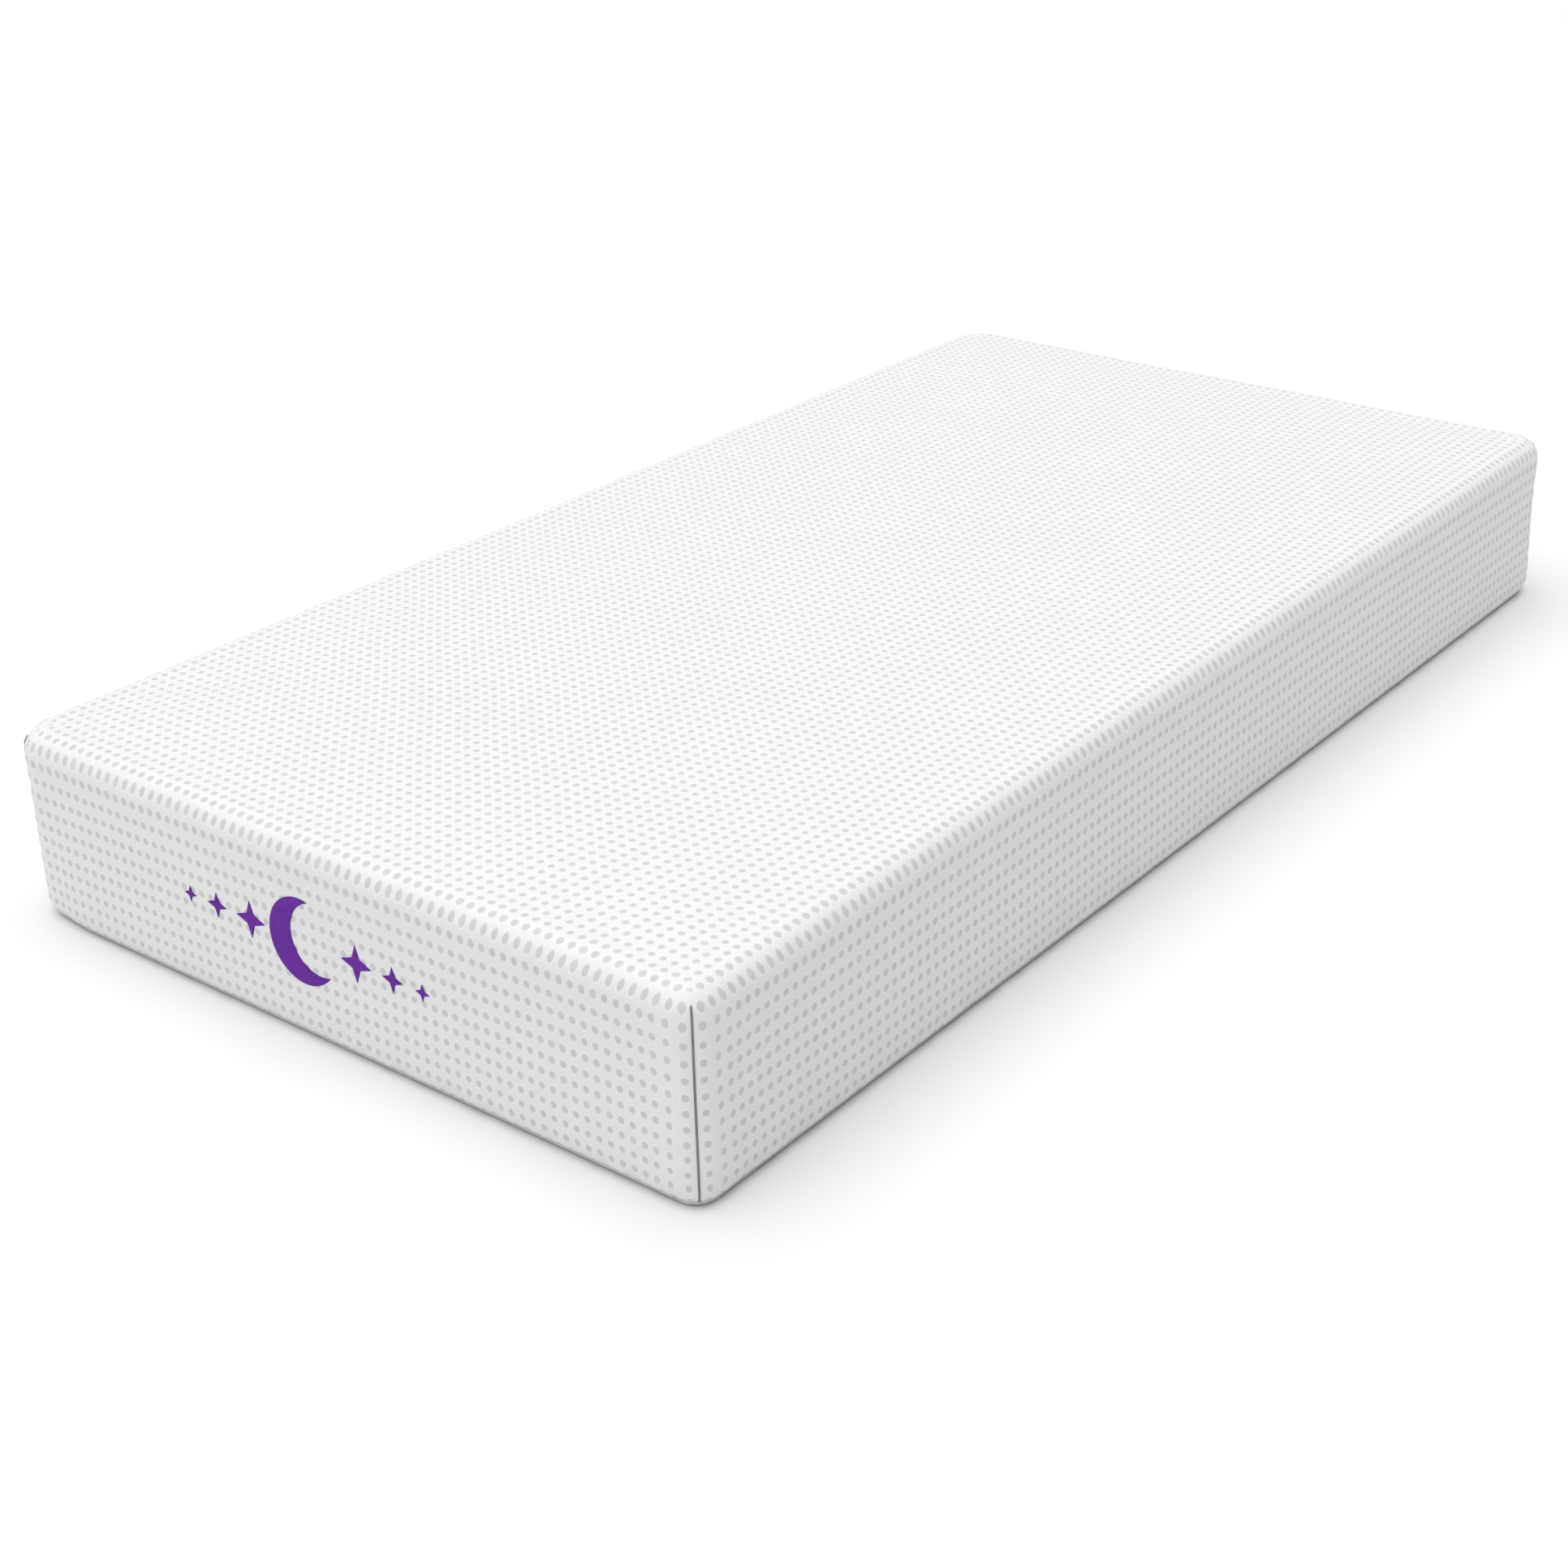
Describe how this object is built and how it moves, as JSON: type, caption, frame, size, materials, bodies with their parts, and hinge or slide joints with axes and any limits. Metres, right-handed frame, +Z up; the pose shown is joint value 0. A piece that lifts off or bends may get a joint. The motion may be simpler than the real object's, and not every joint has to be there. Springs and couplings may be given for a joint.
{
  "type": "memory foam mattress",
  "caption": "Twin-size foam mattress with a zipped white knit cover, stitched corners, layered foam core and a purple crescent moon on the foot end.",
  "frame": {"origin": "centre of the mattress's outline, on the surface it rests on", "axes": "+Z up out of the sleep surface, +Y along the length towards the head end (the foot end with the emblem faces -Y), +X across the width"},
  "size_m": [0.9971, 1.906, 0.2286],
  "materials": {
    "cover_knit": "white jacquard knit with a square grid of small grey dimples",
    "base_cloth": "plain white woven cloth",
    "binding_tape": "white ribbed tape",
    "seam_thread": "dark grey stitched seam",
    "emblem_print": "deep purple printed on the knit",
    "sock_knit": "off-white stretch knit",
    "memory_foam": "soft open-cell foam",
    "comfort_foam": "open-cell foam with cross channels",
    "base_foam": "firm open-cell foam",
    "zip_tape": "white woven tape",
    "zip_coil": "white coil",
    "zip_metal": "satin white enamel over metal",
    "label_cloth": "smooth white satin, blank"
  },
  "bodies": {
    "mattress": {"cover_top": "cover_knit", "cover_bottom": "base_cloth", "seam_binding": "binding_tape", "corner_seam_foot_right": "seam_thread", "corner_seam_foot_left": "seam_thread", "corner_seam_head_right": "seam_thread", "corner_seam_head_left": "seam_thread", "front_emblem": "emblem_print", "inner_sock": "sock_knit", "sock_closure": "sock_knit", "memory_foam": "memory_foam", "transition_foam": "comfort_foam", "support_foam": "base_foam", "zip_tape_upper": "zip_tape", "zip_tape_lower": "zip_tape", "zip_coil_upper": "zip_coil", "zip_coil_lower": "zip_coil", "zip_stop_foot": "zip_metal", "zip_stop_head": "zip_metal", "zip_patch_foot": "binding_tape", "zip_patch_head": "binding_tape", "law_tag_hem": "label_cloth"},
    "zip_slider": {"zip_slider": "zip_metal"},
    "zip_pull": {"zip_pull": "zip_metal"},
    "law_tag": {"law_tag_flap": "label_cloth"}
  },
  "joints": [
    {"name": "zip_travel", "type": "slide", "parent": "mattress", "child": "zip_slider", "axis": [0, -1, 0], "range_m": [0, 1.71]},
    {"name": "pull_flip", "type": "hinge", "parent": "zip_slider", "child": "zip_pull", "pos_m": [-0.4996, 0.855, 0.034], "axis": [0, 0, -1], "range_deg": [0, 180]},
    {"name": "tag_lift", "type": "hinge", "parent": "mattress", "child": "law_tag", "pos_m": [0.25, 0.95305, 0.1312], "axis": [1, 0, 0], "range_deg": [0, 150]}
  ]
}
